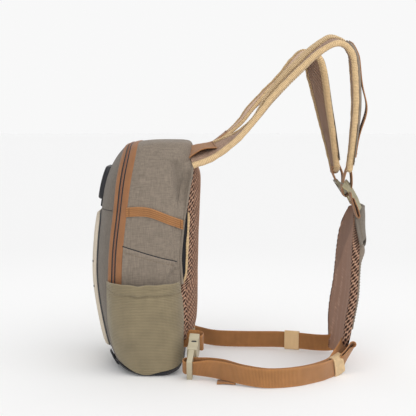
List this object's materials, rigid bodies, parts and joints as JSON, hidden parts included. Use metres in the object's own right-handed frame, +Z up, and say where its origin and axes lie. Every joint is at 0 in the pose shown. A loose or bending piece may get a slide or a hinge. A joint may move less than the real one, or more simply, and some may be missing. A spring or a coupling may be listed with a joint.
{
  "type": "fly fishing chest pack",
  "caption": "Zipped fabric chest bag with stretch side pockets and a moulded front panel, padded mesh shoulder straps arching over to a back pad, and waist webbing with a buckle.",
  "frame": {"origin": "on the flat underside of the bag's base, under the middle of the bag", "axes": "+Z up, +X from the bag's front towards the back pad, -Y the side with the fastened buckle"},
  "size_m": [0.3487, 0.2527, 0.4145],
  "materials": {
    "taupe_cloth": "woven pack cloth",
    "zip_tape": "herringbone zip tape",
    "zip_black": "moulded coil",
    "orange_webbing": "ribbed webbing",
    "stretch_knit": "ribbed stretch knit",
    "air_mesh": "open spacer mesh over foam",
    "beige_binding": "folded woven tape",
    "tan_webbing": "ribbed webbing",
    "buckle_plastic": "fine grained moulding",
    "khaki_tab": "sewn webbing tab",
    "cream_panel": "moulded foam with a cloth face",
    "black_cloth": "plain woven",
    "black_patch": "foam with a soft face"
  },
  "bodies": {
    "root": {"front_shell": "taupe_cloth", "body_shell": "taupe_cloth", "slip_panel_near": "taupe_cloth", "slip_panel_far": "taupe_cloth", "strap_cover_near": "taupe_cloth", "strap_cover_far": "taupe_cloth", "back_pad_cover": "taupe_cloth", "yoke_flap": "taupe_cloth", "zip_tape_front": "zip_tape", "zip_tape_rear": "zip_tape", "zip_coil": "zip_black", "zip_slider": "zip_black", "side_band_near": "orange_webbing", "side_band_far": "orange_webbing", "strap_loop_near": "orange_webbing", "strap_loop_far": "orange_webbing", "strap_runner_near": "orange_webbing", "strap_runner_far": "orange_webbing", "adjust_tail_near": "orange_webbing", "adjust_tail_far": "orange_webbing", "stretch_pocket_near": "stretch_knit", "stretch_pocket_far": "stretch_knit", "strap_near": "air_mesh", "strap_far": "air_mesh", "chest_pad": "air_mesh", "back_pad": "air_mesh", "strap_binding_near": "beige_binding", "strap_binding_far": "beige_binding", "chest_pad_binding": "beige_binding", "keeper_near": "beige_binding", "keeper_far": "beige_binding", "adjust_webbing_near": "tan_webbing", "adjust_webbing_far": "tan_webbing", "waist_webbing_near": "tan_webbing", "waist_webbing_far": "tan_webbing", "waist_end_tab": "tan_webbing", "buckle_anchor_near": "tan_webbing", "buckle_anchor_far": "tan_webbing", "ladder_lock_near": "buckle_plastic", "ladder_lock_far": "buckle_plastic", "buckle_socket": "buckle_plastic", "buckle_plug": "buckle_plastic", "buckle_far": "buckle_plastic", "yoke_tab_near": "khaki_tab", "yoke_tab_far": "khaki_tab", "front_panel": "cream_panel", "front_panel_trim": "black_cloth", "front_patch": "black_patch", "patch_tab": "black_cloth", "bottom_loop_near": "black_cloth", "bottom_loop_far": "black_cloth", "base_panel": "black_cloth"}
  },
  "joints": []
}
